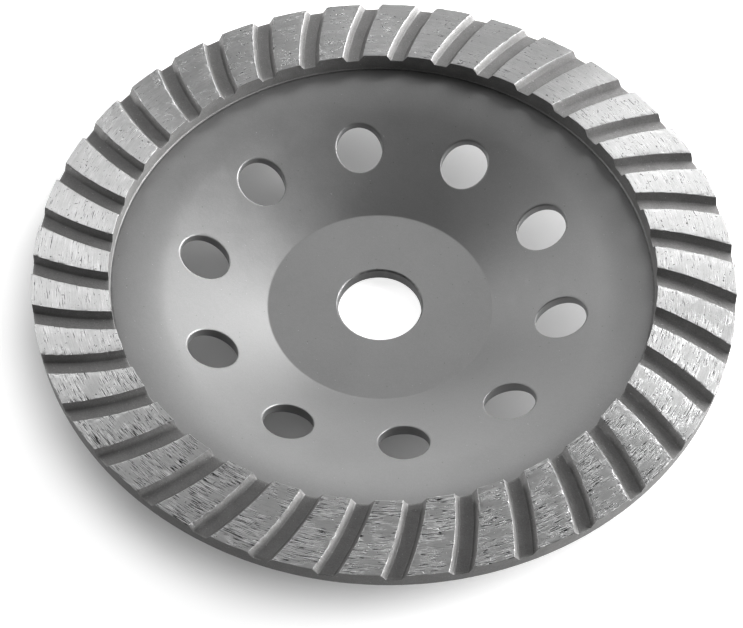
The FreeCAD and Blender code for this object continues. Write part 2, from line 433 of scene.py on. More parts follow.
@dataclass(frozen=True)
class SilverPaint(Finish):
    """Semi-gloss silver-grey paint over blasted steel, with orange peel, dust nibs and grit.

    The paint is a little darker along the foot of the rim, a dark joint seam that is also
    painted shade there, and on the edge of the bore.
    """

    name: str = "silver paint"
    level: float = 0.262
    metallic: float = 0.65
    roughness: float = 0.45
    cloud: Lumps = Lumps(14.0, 3.0, 1.7)
    cloud_shade: float = 0.16
    cloud_rough: float = 0.10
    mottle: Lumps = Lumps(1.6, 3.0, 4.1)
    mottle_shade: float = 0.10
    mottle_rough: float = 0.12
    flake: Lumps = Lumps(0.16, 1.0, 8.3)
    flake_shade: float = 0.34
    peel: Lumps = Lumps(0.9, 2.0, 2.9)
    peel_height: float = 0.020
    grit: Lumps = Lumps(0.22, 2.0, 6.2)
    grit_height: float = 0.006
    nib_spacing: float = 2.2
    nib_height: float = 0.03
    pale_nibs: Specks = Specks((0.95, 0.97), (0.07, 0.03), 0.30, 0.60)
    dark_nibs: Specks = Specks((0.05, 0.03), (0.08, 0.035), 0.60, 0.08)
    foot_seam_and_shade: Span = (RIM_INNER - 0.7, RIM_INNER)
    foot_seam_and_shade_share: float = 0.55
    bore_darkening: Span = (11.5, 11.1)
    bore_darkening_share: float = 0.50
    darkening_waver: float = 0.8

    def build(self) -> bpy.types.Material:
        """Makes the material.

        Returns:
            The material.
        """
        material, graph, place = self.start()
        cloud, mottle = self.cloud.read(graph, place), self.mottle.read(graph, place)
        flake, peel = self.flake.read(graph, place), self.peel.read(graph, place)
        shade = (
            1.0
            + cloud.swing(self.cloud_shade)
            + mottle.swing(self.mottle_shade)
            + flake.swing(self.flake_shade)
        )
        # Darker paint: along the rim's foot a dark joint seam that is also painted shade, and round the
        # edge of the bore.
        radius = graph.radius(place) + mottle.swing(self.darkening_waver)
        darkening = (
            radius.ramp(*self.foot_seam_and_shade) * self.foot_seam_and_shade_share
            + radius.ramp(*self.bore_darkening) * self.bore_darkening_share
        )
        base = graph.scale(tint(self.level)[:3], shade * (1.0 - darkening))
        distance, choice = graph.cells(place, self.nib_spacing)
        spots = []
        for nibs in (self.pale_nibs, self.dark_nibs):
            spots.append(distance.ramp(*nibs.reach) * choice.ramp(*nibs.choice))
            base = graph.blend(spots[-1] * nibs.cover, base, tint(nibs.level))
        height = peel * self.peel_height + self.grit.read(graph, place) * self.grit_height
        rough = self.roughness + cloud.swing(self.cloud_rough) + mottle.swing(self.mottle_rough)
        self.end(
            graph,
            {
                "Base Color": base,
                "Metallic": self.metallic,
                "Roughness": rough,
                "Normal": graph.bump(height + spots[0] * self.nib_height),
            },
        )
        return material


@dataclass(frozen=True)
class DressedMetal(Finish):
    """The tops of the teeth: sintered metal ground bright, with round scratches and pits.

    The scratches are deeper and denser on the camera's side of the wheel, in part as painted
    shade, and their ridges carry painted highlights, brightest on that side.
    """

    name: str = "dressed metal"
    level: float = 0.455
    metallic: float = 0.9
    roughness: float = 0.40
    anisotropy: float = 0.90
    rotation: float = 0.25
    long_marks: Streaks = Streaks(9.0, 0.26, 2.0, 3.3)
    mark_shade: float = 0.42
    mark_height: float = 0.014
    short_marks: Streaks = Streaks(2.9, 0.18, 1.0, 7.9)
    patches: Streaks = Streaks(4.0, 2.6, 3.0, 5.4)
    patch_shade: float = 0.35
    worked_edge: Span = (0.39, 0.53)
    camera_side: Span = (15.0, -70.0)
    gouge_edge: Span = (0.645, 0.69)
    gouge_gain: float = 0.09
    gouge_shade: float = 0.92
    gouge_depth: float = 0.06
    ridge_edge: Span = (0.40, 0.34)
    ridge_gain: float = 0.04
    ridge_highlight: float = 0.14
    camera_side_highlight: float = 0.38
    ridge_height: float = 0.02
    grain: Lumps = Lumps(0.30, 3.0, 9.1)
    grain_shade: float = 0.25
    grain_rough: float = 0.14
    grain_height: float = 0.006
    pits: Lumps = Lumps(0.70, 2.5, 12.4)
    pit_edge: Span = (0.66, 0.70)
    pit_depth: float = 0.06
    pit_cover: float = 0.9
    pit_level: float = 0.05
    hollow_rough: float = 0.2
    glints: Lumps = Lumps(0.36, 1.0, 15.1)
    glint_edge: Span = (0.79, 0.83)
    glint_cover: float = 0.8
    glint_level: float = 0.9

    def build(self) -> bpy.types.Material:
        """Makes the material.

        Returns:
            The material.
        """
        material, graph, place = self.start()
        long_marks = self.long_marks.read(graph, place)
        short_marks = self.short_marks.read(graph, place)
        patches = self.patches.read(graph, place)
        grain = self.grain.read(graph, place)
        worked = patches.ramp(*self.worked_edge)
        # Painted light: marks gather on the camera's side, and the ridges are painted lighter as
        # highlights, most of all there.
        camera_side = graph.parts(place, "Y")[0].ramp(*self.camera_side)
        gouge = (short_marks + camera_side * self.gouge_gain).ramp(*self.gouge_edge) * worked
        ridge = (short_marks - camera_side * self.ridge_gain).ramp(*self.ridge_edge) * worked
        pit = self.pits.read(graph, place).ramp(*self.pit_edge)
        glint = self.glints.read(graph, place).ramp(*self.glint_edge)
        shade = (
            1.0
            + long_marks.swing(self.mark_shade)
            + patches.swing(self.patch_shade)
            - gouge * self.gouge_shade
            + ridge * (self.ridge_highlight + camera_side * self.camera_side_highlight)
            + grain.swing(self.grain_shade)
        )
        base = graph.scale(tint(self.level)[:3], shade)
        base = graph.blend(pit * self.pit_cover, base, tint(self.pit_level))
        # The glints are painted highlights: bright specks in the colour.
        base = graph.blend(glint * self.glint_cover, base, tint(self.glint_level))
        height = (
            long_marks * self.mark_height
            - gouge * self.gouge_depth
            + ridge * self.ridge_height
            - pit * self.pit_depth
            + grain * self.grain_height
        )
        self.end(
            graph,
            {
                "Base Color": base,
                "Metallic": self.metallic,
                "Roughness": (
                    self.roughness + grain.swing(self.grain_rough) + (gouge + pit) * self.hollow_rough
                ),
                "Anisotropic": self.anisotropy,
                "Anisotropic Rotation": self.rotation,
                "Normal": graph.bump(height),
            },
        )
        return material


@dataclass(frozen=True)
class RawMatrix(Finish):
    """The walls and the grooves: sintered metal as it left the mould.

    Painted shade darkens the depth of the grooves, on the side of the wheel away from the lamps.
    """

    name: str = "raw matrix"
    level: float = 0.23
    warmth: float = 0.02
    metallic: float = 0.45
    roughness: float = 0.50
    grain: Lumps = Lumps(0.30, 3.0, 9.1)
    grain_shade: float = 0.8
    grain_rough: float = 0.16
    grain_height: float = 0.05
    blotch: Lumps = Lumps(3.5, 3.0, 2.2)
    blotch_shade: float = 0.45
    blotch_rough: float = 0.10
    blotch_height: float = 0.10
    speck: Lumps = Lumps(0.45, 1.0, 6.6)
    speck_edge: Span = (0.70, 0.76)
    speck_shade: float = 0.9
    inner_edge: Span = (RIM_INNER, RIM_INNER + 0.8)
    outer_edge: Span = (90.0, 89.2)
    groove_shade_height: Span = (23.2, 22.0)
    lamp_heading: Span = (0.8, 0.6)
    shaded_side: Span = (55.0, -35.0)
    groove_shade_share: float = 0.36

    def build(self) -> bpy.types.Material:
        """Makes the material.

        Returns:
            The material.
        """
        material, graph, place = self.start()
        grain, blotch = self.grain.read(graph, place), self.blotch.read(graph, place)
        speck = self.speck.read(graph, place).ramp(*self.speck_edge)
        x, y, z = graph.parts(place, "XYZ")
        radius = graph.radius(place)
        inside = radius.ramp(*self.inner_edge) * radius.ramp(*self.outer_edge)
        # Painted shade: the depth of the grooves darkens on the side of the wheel away from the lamps.
        side = (x * self.lamp_heading[0] + y * self.lamp_heading[1]).ramp(*self.shaded_side)
        groove_shade = z.ramp(*self.groove_shade_height) * inside * side * self.groove_shade_share
        shade = (
            1.0
            + grain.swing(self.grain_shade)
            + blotch.swing(self.blotch_shade)
            + speck * self.speck_shade
        )
        rough = self.roughness + grain.swing(self.grain_rough) + blotch.swing(self.blotch_rough)
        self.end(
            graph,
            {
                "Base Color": graph.scale(tint(self.level, self.warmth)[:3], shade * (1.0 - groove_shade)),
                "Metallic": self.metallic,
                "Roughness": rough,
                "Normal": graph.bump(grain * self.grain_height + blotch * self.blotch_height),
            },
        )
        return material


@dataclass(frozen=True)
class DiamondGrit(Finish):
    """Synthetic diamond: small, glassy, greyish crystals."""

    name: str = "diamond grit"
    dark_level: float = 0.175
    pale_level: float = 0.65
    pale_warmth: float = 0.06
    roughness: float = 0.12
    change: Lumps = Lumps(1.3, 1.0, 5.5)
    change_edge: Span = (0.40, 0.60)

    def build(self) -> bpy.types.Material:
        """Makes the material.

        Returns:
            The material.
        """
        material, graph, place = self.start()
        change = self.change.read(graph, place).ramp(*self.change_edge)
        base = graph.blend(change, tint(self.dark_level), tint(self.pale_level, self.pale_warmth))
        self.end(graph, {"Base Color": base, "Roughness": self.roughness, "Metallic": 0.0})
        return material


@dataclass(frozen=True)
class PaleFloor(Finish):
    """The plain pale floor that the wheel lies on.

    It glows white to the eye in the open. Near the wheel the glow fades into a painted shadow,
    shifted to the shaded side; under the wheel it is a little painted light, and under the bore
    a painted pool of light.
    """

    name: str = "pale floor"
    level: float = 0.76
    roughness: float = 0.9
    gloss: float = 0.1
    glow: float = 0.70
    under_wheel_painted_light: float = 0.12
    bore: Span = (14.0, 11.0)
    rim: Span = (77.0, 101.0)
    painted_shadow_offset: tuple[float, float, float] = (6.0, -5.0, 0.0)
    behind: Span = (-80.0, 80.0)

    def build(self) -> bpy.types.Material:
        """Makes the material.

        Returns:
            The material.
        """
        material, graph, place = self.start()
        # Painted shadow and painted light on the floor: the glow fades near the wheel, shifted to its
        # shaded side, and comes back as a pool under the bore.
        far = graph.length(graph.shift(place, self.painted_shadow_offset))
        open_floor = far.ramp(*self.rim) + graph.length(place).ramp(*self.bore)
        level = (self.under_wheel_painted_light + open_floor * (self.glow - self.under_wheel_painted_light)).ramp(0.0, 1.0)
        behind = graph.parts(place, "Y")[0].ramp(*self.behind)
        glow = graph.blend(level * seen_ray(graph, behind), grey(0.0), grey(1.0))
        self.end(
            graph,
            {
                "Base Color": grey(self.level),
                "Roughness": self.roughness,
                "Specular IOR Level": self.gloss,
                "Emission Color": glow,
                "Emission Strength": 1.0,
            },
        )
        return material


# Shapes


def rounded(
    points: list[tuple[float, float]], radii: list[float], steps: int = 4
) -> list[tuple[float, float]]:
    """Rounds the corners of an open outline.

    Args:
        points: The outline's corners.
        radii: A radius for each corner, 0 where it stays sharp.
        steps: The straight edges in each rounding.

    Returns:
        The outline with its roundings.
    """
    result: list[tuple[float, float]] = []
    for index, (point, radius) in enumerate(zip(points, radii)):
        if radius == 0 or index in (0, len(points) - 1):
            result.append(point)
            continue
        here = Vector(point)
        before = (Vector(points[index - 1]) - here).normalized()
        after = (Vector(points[index + 1]) - here).normalized()
        half = before.angle(after) / 2
        centre = here + (before + after).normalized() * (radius / math.sin(half))
        first = here + before * (radius / math.tan(half)) - centre
        last = here + after * (radius / math.tan(half)) - centre
        for step in range(steps + 1):
            share = step / steps
            turn = first.angle_signed(last) * share
            spun = Matrix.Rotation(-turn, 2) @ first
            result.append(tuple(centre + spun))
    return result


def divided(
    points: list[tuple[float, float]], longest: float, support: float
) -> list[tuple[float, float]]:
    """Divides the long edges of an outline, with short edges beside each corner.

    Args:
        points: The outline.
        longest: The longest edge that stays.
        support: The length of the short edge at both ends of a long one.

    Returns:
        The finer outline.
    """
    result = [points[0]]
    for (x0, y0), (x1, y1) in zip(points, points[1:]):
        length = math.hypot(x1 - x0, y1 - y0)
        shares = []
        if length > 3 * support:
            inner = max(1, round((length - 2 * support) / longest))
            edge = support / length
            shares = [edge + (1 - 2 * edge) * step / inner for step in range(inner + 1)]
        for share in shares:
            result.append((x0 + (x1 - x0) * share, y0 + (y1 - y0) * share))
        result.append((x1, y1))
    return result


class Skin:
    """Gathers patches of four-sided faces and turns them into one mesh."""

    def __init__(self, name: str) -> None:
        """Starts an empty skin.

        Args:
            name: The mesh's name.
        """
        self.name = name
        self.points: list[np.ndarray] = []
        self.chips: list[np.ndarray] = []
        self.faces: list[np.ndarray] = []
        self.count = 0

    def add(self, patch: np.ndarray, chip: np.ndarray | None = None, closed: bool = False) -> None:
        """Adds one patch. Its faces point along rows x columns.

        Args:
            patch: Points in millimetres, by row, column and axis.
            chip: How easily each point chips, by row and column.
            closed: Whether the last row joins the first.
        """
        rows, columns = patch.shape[:2]
        numbers = self.count + np.arange(rows * columns).reshape(rows, columns)
        if closed:
            numbers = np.vstack([numbers, numbers[:1]])
        quads = np.stack(
            [numbers[:-1, :-1], numbers[1:, :-1], numbers[1:, 1:], numbers[:-1, 1:]], axis=-1
        )
        self.points.append(patch.reshape(-1, 3))
        self.chips.append(np.zeros(rows * columns) if chip is None else chip.reshape(-1))
        self.faces.append(quads.reshape(-1, 4))
        self.count += rows * columns

    def mesh(self) -> bpy.types.Mesh:
        """Makes the mesh, in metres.

        Returns:
            The mesh, with the chip attribute.
        """
        mesh = bpy.data.meshes.new(self.name)
        points = np.concatenate(self.points) * MM
        mesh.from_pydata(points.tolist(), [], np.concatenate(self.faces).tolist())
        attribute = mesh.attributes.new(Edge.CHIP.value, "FLOAT", "POINT")
        attribute.data.foreach_set("value", np.concatenate(self.chips).astype(np.float32))
        mesh.update()
        return mesh


def place_object(name: str, mesh: bpy.types.Mesh) -> bpy.types.Object:
    """Links a new object that holds a mesh, at the origin.

    Args:
        name: The object's name.
        mesh: Its mesh.

    Returns:
        The object.
    """
    made = bpy.data.objects.new(name, mesh)
    bpy.context.scene.collection.objects.link(made)
    return made


# Geometry node trees


class TreeInput(Enum):
    """The named inputs of the geometry node trees."""

    COUNT = "Copies round the axis"
    START = "Angle of the first copy"
    WELD = "Weld distance"
    CHIP_DEPTH = "Chip depth"
    CHIP_SIZE = "Chip size"
    GRAIN_DEPTH = "Grain depth"
    GRAIN_SIZE = "Grain size"
    SEED = "Seed"
    DENSITY = "Crystals in a square metre"
    CRYSTAL = "Crystal radius"
    CEILING = "Highest level"
    TOP_LINE = "Level above which the top's finish lies"


SOCKET_TYPES = {TreeInput.COUNT: "NodeSocketInt", TreeInput.SEED: "NodeSocketInt"}


class GeometryTree:
    """A geometry node tree with named inputs, run once on an object."""

    def __init__(self, name: str, inputs: Iterable[TreeInput]) -> None:
        """Makes the tree and its sockets.

        Args:
            name: The tree's name.
            inputs: Its named inputs.
        """
        self.tree = bpy.data.node_groups.new(name, "GeometryNodeTree")
        interface = self.tree.interface
        interface.new_socket("Geometry", in_out="INPUT", socket_type="NodeSocketGeometry")
        interface.new_socket("Geometry", in_out="OUTPUT", socket_type="NodeSocketGeometry")
        self.identifiers = {
            item: interface.new_socket(
                item.value, in_out="INPUT", socket_type=SOCKET_TYPES.get(item, "NodeSocketFloat")
            ).identifier
            for item in inputs
        }
        self.graph = Graph(self.tree)
        self.source = self.graph.node("NodeGroupInput")

    def value(self, item: TreeInput) -> Wire:
        """Returns a named input as a wire."""
        return Wire(self.graph, self.source.outputs[item.value])

    @property
    def geometry(self) -> Wire:
        """The geometry that comes in."""
        return Wire(self.graph, self.source.outputs["Geometry"])

    def close(self, geometry: Wire, *finishes: tuple[bpy.types.Material, Any]) -> None:
        """Sets the materials and ends the tree.

        Args:
            geometry: Realized geometry.
            finishes: Materials, each with the faces that it covers.
        """
        for material, cover in finishes:
            geometry = self.graph.add(
                "GeometryNodeSetMaterial",
                {},
                {"Geometry": geometry, "Material": material, "Selection": cover},
            )
        self.graph.node("NodeGroupOutput", {}, {"Geometry": geometry})

    def run(self, made: bpy.types.Object, values: dict[TreeInput, Any]) -> bpy.types.Mesh:
        """Runs the tree on an object and returns the result as a plain mesh.

        Args:
            made: The object, whose own mesh is the input.
            values: A value for each named input.

        Returns:
            The new mesh.
        """
        modifier = made.modifiers.new(self.tree.name, "NODES")
        modifier.node_group = self.tree
        for item, value in values.items():
            modifier[self.identifiers[item]] = value
        graph = bpy.context.evaluated_depsgraph_get()
        result = bpy.data.meshes.new_from_object(
            made.evaluated_get(graph), preserve_all_data_layers=True, depsgraph=graph
        )
        made.modifiers.remove(modifier)
        return result


class RingTree(GeometryTree):
    """Repeats one sector round the wheel's axis, welds it and wears its surface."""

    CHIP_OCTAVES = 2.0
    CHIP_SEED = 0.3
    CHIP_EDGE: Span = (0.46, 0.74)
    GRAIN_OCTAVES = 3.0
    GRAIN_SEED = 5.7
    GRAIN_EDGE: Span = (0.2, 0.8)

    def __init__(
        self, name: str, material: bpy.types.Material, top: bpy.types.Material | None = None
    ) -> None:
        """Builds the tree.

        Args:
            name: The tree's name.
            material: What the result is made of.
            top: The finish of its level faces above the top line, where it has another.
        """
        super().__init__(
            name,
            [
                TreeInput.COUNT,
                TreeInput.START,
                TreeInput.WELD,
                TreeInput.CHIP_DEPTH,
                TreeInput.CHIP_SIZE,
                TreeInput.GRAIN_DEPTH,
                TreeInput.GRAIN_SIZE,
                TreeInput.SEED,
                TreeInput.TOP_LINE,
            ],
        )
        graph = self.graph
        count = self.value(TreeInput.COUNT)
        points = graph.add("GeometryNodePoints", {}, {"Count": count})
        number = graph.add("GeometryNodeInputIndex")
        turn = number * math.tau / count + self.value(TreeInput.START)
        copies = graph.add(
            "GeometryNodeInstanceOnPoints",
            {},
            {"Points": points, "Instance": self.geometry, "Rotation": graph.join(Z=turn)},
        )
        real = graph.add("GeometryNodeRealizeInstances", {}, {"Geometry": copies})
        whole = graph.add(
            "GeometryNodeMergeByDistance",
            {},
            {"Geometry": real, "Distance": self.value(TreeInput.WELD)},
        )
        worn = graph.add(
            "GeometryNodeSetPosition", {}, {"Geometry": whole, "Offset": self._wear()}
        )
        smooth = graph.add("GeometryNodeSetShadeSmooth", {}, {"Geometry": worn})
        finishes = [(material, True)]
        if top is not None:
            height = graph.parts(graph.add("GeometryNodeInputPosition"), "Z")[0]
            above = graph.add(
                "FunctionNodeCompare",
                {"data_type": "FLOAT", "operation": "GREATER_THAN"},
                {"A": height, "B": self.value(TreeInput.TOP_LINE)},
            )
            finishes.append((top, above))
        self.close(smooth, *finishes)

    def _wear(self) -> Wire:
        """Adds the chips and the grain.

        Returns:
            How far each point goes into the surface, as a vector.
        """
        graph = self.graph
        place = graph.add("GeometryNodeInputPosition")
        normal = graph.add("GeometryNodeInputNormal")
        seed = self.value(TreeInput.SEED)
        loose = graph.add(
            "GeometryNodeInputNamedAttribute", {"data_type": "FLOAT"}, {"Name": Edge.CHIP.value}
        )
        chip_size, grain_size = self.value(TreeInput.CHIP_SIZE), self.value(TreeInput.GRAIN_SIZE)
        chip = graph.noise(place, chip_size, self.CHIP_OCTAVES, seed + self.CHIP_SEED)
        grain = graph.noise(place, grain_size, self.GRAIN_OCTAVES, seed + self.GRAIN_SEED)
        depth = (
            chip.ramp(*self.CHIP_EDGE) * loose * self.value(TreeInput.CHIP_DEPTH)
            + grain.ramp(*self.GRAIN_EDGE) * self.value(TreeInput.GRAIN_DEPTH)
        )
        return graph.scale(normal, -1.0 * depth)


class GritTree(GeometryTree):
    """Scatters small crystals over the dressed tops of the teeth."""

    TOP_BAND: Span = (-0.13 * MM, -0.10 * MM)
    LEVEL_EDGE: Span = (0.95, 0.99)
    SMALLEST = 0.45
    SIZE_SEED = 8
    SPIN_SEED = 3

    def __init__(self, name: str, material: bpy.types.Material) -> None:
        """Builds the tree.

        Args:
            name: The tree's name.
            material: What the crystals are made of.
        """
        super().__init__(
            name, [TreeInput.DENSITY, TreeInput.CRYSTAL, TreeInput.CEILING, TreeInput.SEED]
        )
        graph = self.graph
        radius = self.value(TreeInput.CRYSTAL)
        ceiling = self.value(TreeInput.CEILING)
        x, y, height = graph.parts(graph.add("GeometryNodeInputPosition"), "XYZ")
        level = graph.parts(graph.add("GeometryNodeInputNormal"), "Z")[0]
        top = (height - ceiling).ramp(*self.TOP_BAND) * level.ramp(*self.LEVEL_EDGE)
        points = graph.add(
            "GeometryNodeDistributePointsOnFaces",
            {},
            {
                "Mesh": self.geometry,
                "Density": self.value(TreeInput.DENSITY) * top,
                "Seed": self.value(TreeInput.SEED),
            },
        )
        crystal = graph.add("GeometryNodeMeshIcoSphere", {}, {"Radius": radius, "Subdivisions": 1})
        spin = graph.add(
            "FunctionNodeRandomValue",
            {"data_type": "FLOAT_VECTOR"},
            {0: (0.0, 0.0, 0.0), 1: (math.tau, math.tau, math.tau), "Seed": self.SPIN_SEED},
        )
        size = graph.add(
            "FunctionNodeRandomValue",
            {"data_type": "FLOAT"},
            {2: self.SMALLEST, 3: 1.0, "Seed": self.SIZE_SEED},
            1,
        )
        sunk = graph.join(X=x, Y=y, Z=ceiling - radius * size)
        seated = graph.add("GeometryNodeSetPosition", {}, {"Geometry": points, "Position": sunk})
        copies = graph.add(
            "GeometryNodeInstanceOnPoints",
            {},
            {"Points": seated, "Instance": crystal, "Rotation": spin, "Scale": size},
        )
        real = graph.add("GeometryNodeRealizeInstances", {}, {"Geometry": copies})
        self.close(real, (material, True))


# Sub-assemblies


@dataclass
class Piece:
    """What both parts of the wheel share: a sector that is repeated round the axis."""

    name: str = "piece"
    count: int = 1
    start: float = 0.0
    weld: float = 0.002
    chip_depth: float = 0.0
    chip_size: float = 1.0
    grain_depth: float = 0.0
    grain_size: float = 1.0
    seed: int = 1
    top_line: float = 1000.0

    def sector(self) -> bpy.types.Mesh:
        """Makes one sector of the piece."""
        raise NotImplementedError

    def build(
        self, material: bpy.types.Material, top: bpy.types.Material | None = None
    ) -> bpy.types.Object:
        """Makes the whole piece from its sector.

        Args:
            material: What it is made of.
            top: The finish of its level top, where it has another.

        Returns:
            The finished object.
        """
        made = place_object(self.name, self.sector())
        tree = RingTree(f"{self.name} ring", material, top)
        source = made.data
        made.data = tree.run(
            made,
            {
                TreeInput.COUNT: self.count,
                TreeInput.START: math.radians(self.start),
                TreeInput.WELD: self.weld * MM,
                TreeInput.CHIP_DEPTH: self.chip_depth * MM,
                TreeInput.CHIP_SIZE: self.chip_size * MM,
                TreeInput.GRAIN_DEPTH: self.grain_depth * MM,
                TreeInput.GRAIN_SIZE: self.grain_size * MM,
                TreeInput.SEED: self.seed,
                TreeInput.TOP_LINE: self.top_line * MM,
            },
        )
        bpy.data.meshes.remove(source)
        return made

    def dress(self, made: bpy.types.Object, node: Node, slot: Slot) -> None:
        """Ties the finished piece to the frame.

        Args:
            made: The finished object.
            node: The solid that it stands for.
            slot: Not used.
        """
        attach(made, BODY)
        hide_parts(node.value)
        log.info("%s: %d faces", made.name, len(made.data.polygons))


@dataclass
class SteelBody(Piece):
    """The dished carrier: hub plate, conical web with vent holes, and the rim's flange.

    The zone between two radii round each vent hole is meshed as rings round the hole, and what
    lies inside and outside of it is turned from an outline.
    """

    name: str = "painted_body"
    count: int = 10
    start: float = 93.0
    top_line: float = 18.66
    bore_radius: float = 11.115
    bore_chamfer: float = 0.4
    hub_thickness: float = 3.8
    hub_disc_radius: float = 29.75
    hub_back_radius: float = 33.5
    blend_run: float = 14.75
    dish_edge: float = 18.5
    web_thickness: float = 1.8
    seat_height: float = SEAT_HEIGHT
    rim_inner: float = RIM_INNER
    flange_radius: float = 88.0
    flange_chamfer: float = 1.0
    vent_radius: float = 6.35
    vent_reach: float = 47.5
    vent_edge: float = 0.35
    zone_inner: float = 38.5
    zone_outer: float = 56.5
    crease_radius: float = 1.2
    crease_steps: int = 5
    back_crease_radius: float = 1.5
    back_crease_steps: int = 4
    bore_edge: float = 0.18
    foot_fillet: float = 0.12
    flange_edge: float = 0.25
    lip_steps: int = 3
    arc_steps: int = 30
    columns: int = 24
    zone_rows: int = 12
    edge_steps: int = 4
    hub_mesh: float = 1.4
    flange_mesh: float = 1.6
    support: float = 0.25
    web_shares: tuple[float, ...] = (1.0, 0.80, 0.60, 0.43, 0.29, 0.18, 0.10, 0.045)
    wall_shares: tuple[float, ...] = (0.08, 0.35, 0.65, 0.92)
    halvings: int = 60
    slope: float = field(init=False)
    front_radius: float = field(init=False)

    def __post_init__(self) -> None:
        """Works out the slope of the cone and the radius of its blend into the rim."""
        run = self.rim_inner - self.hub_disc_radius
        rise = self.dish_edge - self.hub_thickness
        low, high = 0.0, math.pi / 2
        for _ in range(self.halvings):
            middle = (low + high) / 2
            climb = (run - self.blend_run) * math.tan(middle) + self.blend_run * math.tan(middle / 2)
            low, high = (middle, high) if climb < rise else (low, middle)
        self.slope = low
        self.front_radius = self.blend_run / math.sin(low)

    def _touch(self, start: tuple[float, float], radius: float) -> tuple[float, float]:
        """Finds where the line from a point touches the blend's circle.

        Args:
            start: The point, by radius of the wheel and height.
            radius: The circle's radius.

        Returns:
            The touching point.
        """
        centre = (self.rim_inner, self.dish_edge - self.front_radius)
        dx, dy = centre[0] - start[0], centre[1] - start[1]
        length = math.hypot(dx, dy)
        heading = math.atan2(dy, dx) + math.asin(radius / length)
        reach = math.sqrt(length * length - radius * radius)
        return start[0] + reach * math.cos(heading), start[1] + reach * math.sin(heading)

    def _outline(
        self, crease: tuple[float, float], bend: float, steps: int, radius: float
    ) -> list[tuple[float, float]]:
        """Returns one side of the body, from the bore to the foot of the rim.

        Args:
            crease: The corner between the flat of the hub and the cone.
            bend: The radius of its rounding.
            steps: The straight edges in that rounding.
            radius: The radius of the blend from the cone to the level rim.

        Returns:
            The outline.
        """
        centre = (self.rim_inner, self.dish_edge - self.front_radius)
        touch = self._touch(crease, radius)
        first = math.atan2(touch[1] - centre[1], touch[0] - centre[0])
        arc = [
            (centre[0] + radius * math.cos(turn), centre[1] + radius * math.sin(turn))
            for turn in np.linspace(first, math.pi / 2, self.arc_steps + 1)
        ]
        bore = (self.bore_radius + self.bore_chamfer, crease[1])
        return rounded([bore, crease, *arc], [0, bend, *[0] * len(arc)], steps)

    def front(self) -> list[tuple[float, float]]:
        """Returns the working side's outline."""
        crease = (self.hub_disc_radius, self.hub_thickness)
        return self._outline(crease, self.crease_radius, self.crease_steps, self.front_radius)

    def back(self) -> list[tuple[float, float]]:
        """Returns the hidden side's outline."""
        crease = (self.hub_back_radius, 0.0)
        radius = self.front_radius - self.web_thickness
        return self._outline(crease, self.back_crease_radius, self.back_crease_steps, radius)

    @staticmethod
    def _cut(line: list[tuple[float, float]], low: float, high: float) -> list[tuple[float, float]]:
        """Cuts a stretch out of an outline.

        Args:
            line: The outline, by radius of the wheel and height.
            low: The radius at which the stretch starts.
            high: The radius at which it ends.

        Returns:
            The stretch.
        """
        radii = np.array([p[0] for p in line])
        heights = np.array([p[1] for p in line])
        inside = [tuple(p) for p in line if low + TINY < p[0] < high - TINY]
        ends = [(r, float(np.interp(r, radii, heights))) for r in (low, high)]
        return [ends[0], *inside, ends[1]]

    def _sweep(self, line: list[tuple[float, float]]) -> np.ndarray:
        """Turns an outline through one sector.

        Args:
            line: The outline, by radius of the wheel and height.

        Returns:
            The patch's points by row, column and axis.
        """
        half = math.pi / self.count
        turns = np.linspace(-half, half, self.columns + 1)
        radii = np.array([p[0] for p in line])[:, None]
        heights = np.array([p[1] for p in line])[:, None]
        return np.stack(
            [radii * np.cos(turns), radii * np.sin(turns), heights + 0 * turns], axis=-1
        )

    def _hub_line(self) -> list[tuple[float, float]]:
        """Makes the outline from the back of the zone, round the bore, to the front of it.

        Returns:
            The outline, by radius of the wheel and height.
        """
        start = self.bore_radius + self.bore_chamfer
        back = self._cut(self.back(), start, self.zone_inner)[::-1]
        front = self._cut(self.front(), start, self.zone_inner)
        chamfer = self.bore_chamfer
        walls = [
            (self.bore_radius, chamfer),
            (self.bore_radius, self.hub_thickness - chamfer),
        ]
        line = back + walls + front
        radii = [0.0] * len(line)
        for index in range(len(back) - 1, len(back) + 3):
            radii[index] = self.bore_edge
        return divided(rounded(line, radii, self.lip_steps), self.hub_mesh, self.support)

    def _flange_line(self) -> list[tuple[float, float]]:
        """Makes the outline from the front of the zone, round the flange, to the back of it.

        Returns:
            The outline, by radius of the wheel and height.
        """
        front = self._cut(self.front(), self.zone_outer, self.rim_inner)
        back = self._cut(self.back(), self.zone_outer, self.rim_inner)[::-1]
        level = back[0][1]
        walls = [
            (self.rim_inner, self.seat_height),
            (self.flange_radius, self.seat_height),
            (self.flange_radius, level + self.flange_chamfer),
            (self.flange_radius - self.flange_chamfer, level),
        ]
        line = front + walls + back
        radii = [0.0] * len(line)
        radii[len(front) - 1] = self.foot_fillet
        for index in range(len(front) + 1, len(front) + 4):
            radii[index] = self.flange_edge
        return divided(rounded(line, radii, self.lip_steps), self.flange_mesh, self.support)

    def _vent_patch(self) -> np.ndarray:
        """Makes the web round one vent hole as rings, from its back to its front.

        Returns:
            The patch's points by row, column and axis.
        """
        half = math.pi / self.count
        outer, inner = self.zone_outer, self.zone_inner
        corners = [(outer, 0.0), (outer, half), (inner, half), (inner, -half), (outer, -half)]
        corners.append(corners[0])
        counts = [self.columns // 2, self.zone_rows, self.columns, self.zone_rows, self.columns // 2]
        legs = [
            np.linspace(start, end, count, endpoint=False)
            for start, end, count in zip(corners, corners[1:], counts)
        ]
        reach, turn = np.concatenate([*legs, corners[-1:]]).T
        border = np.column_stack([reach * np.cos(turn), reach * np.sin(turn)])
        centre = np.array([self.vent_reach, 0.0])
        away = border - centre
        length = np.linalg.norm(away, axis=1)[:, None]
        heading = away / length
        front_line, back_line = np.array(self.front()), np.array(self.back())

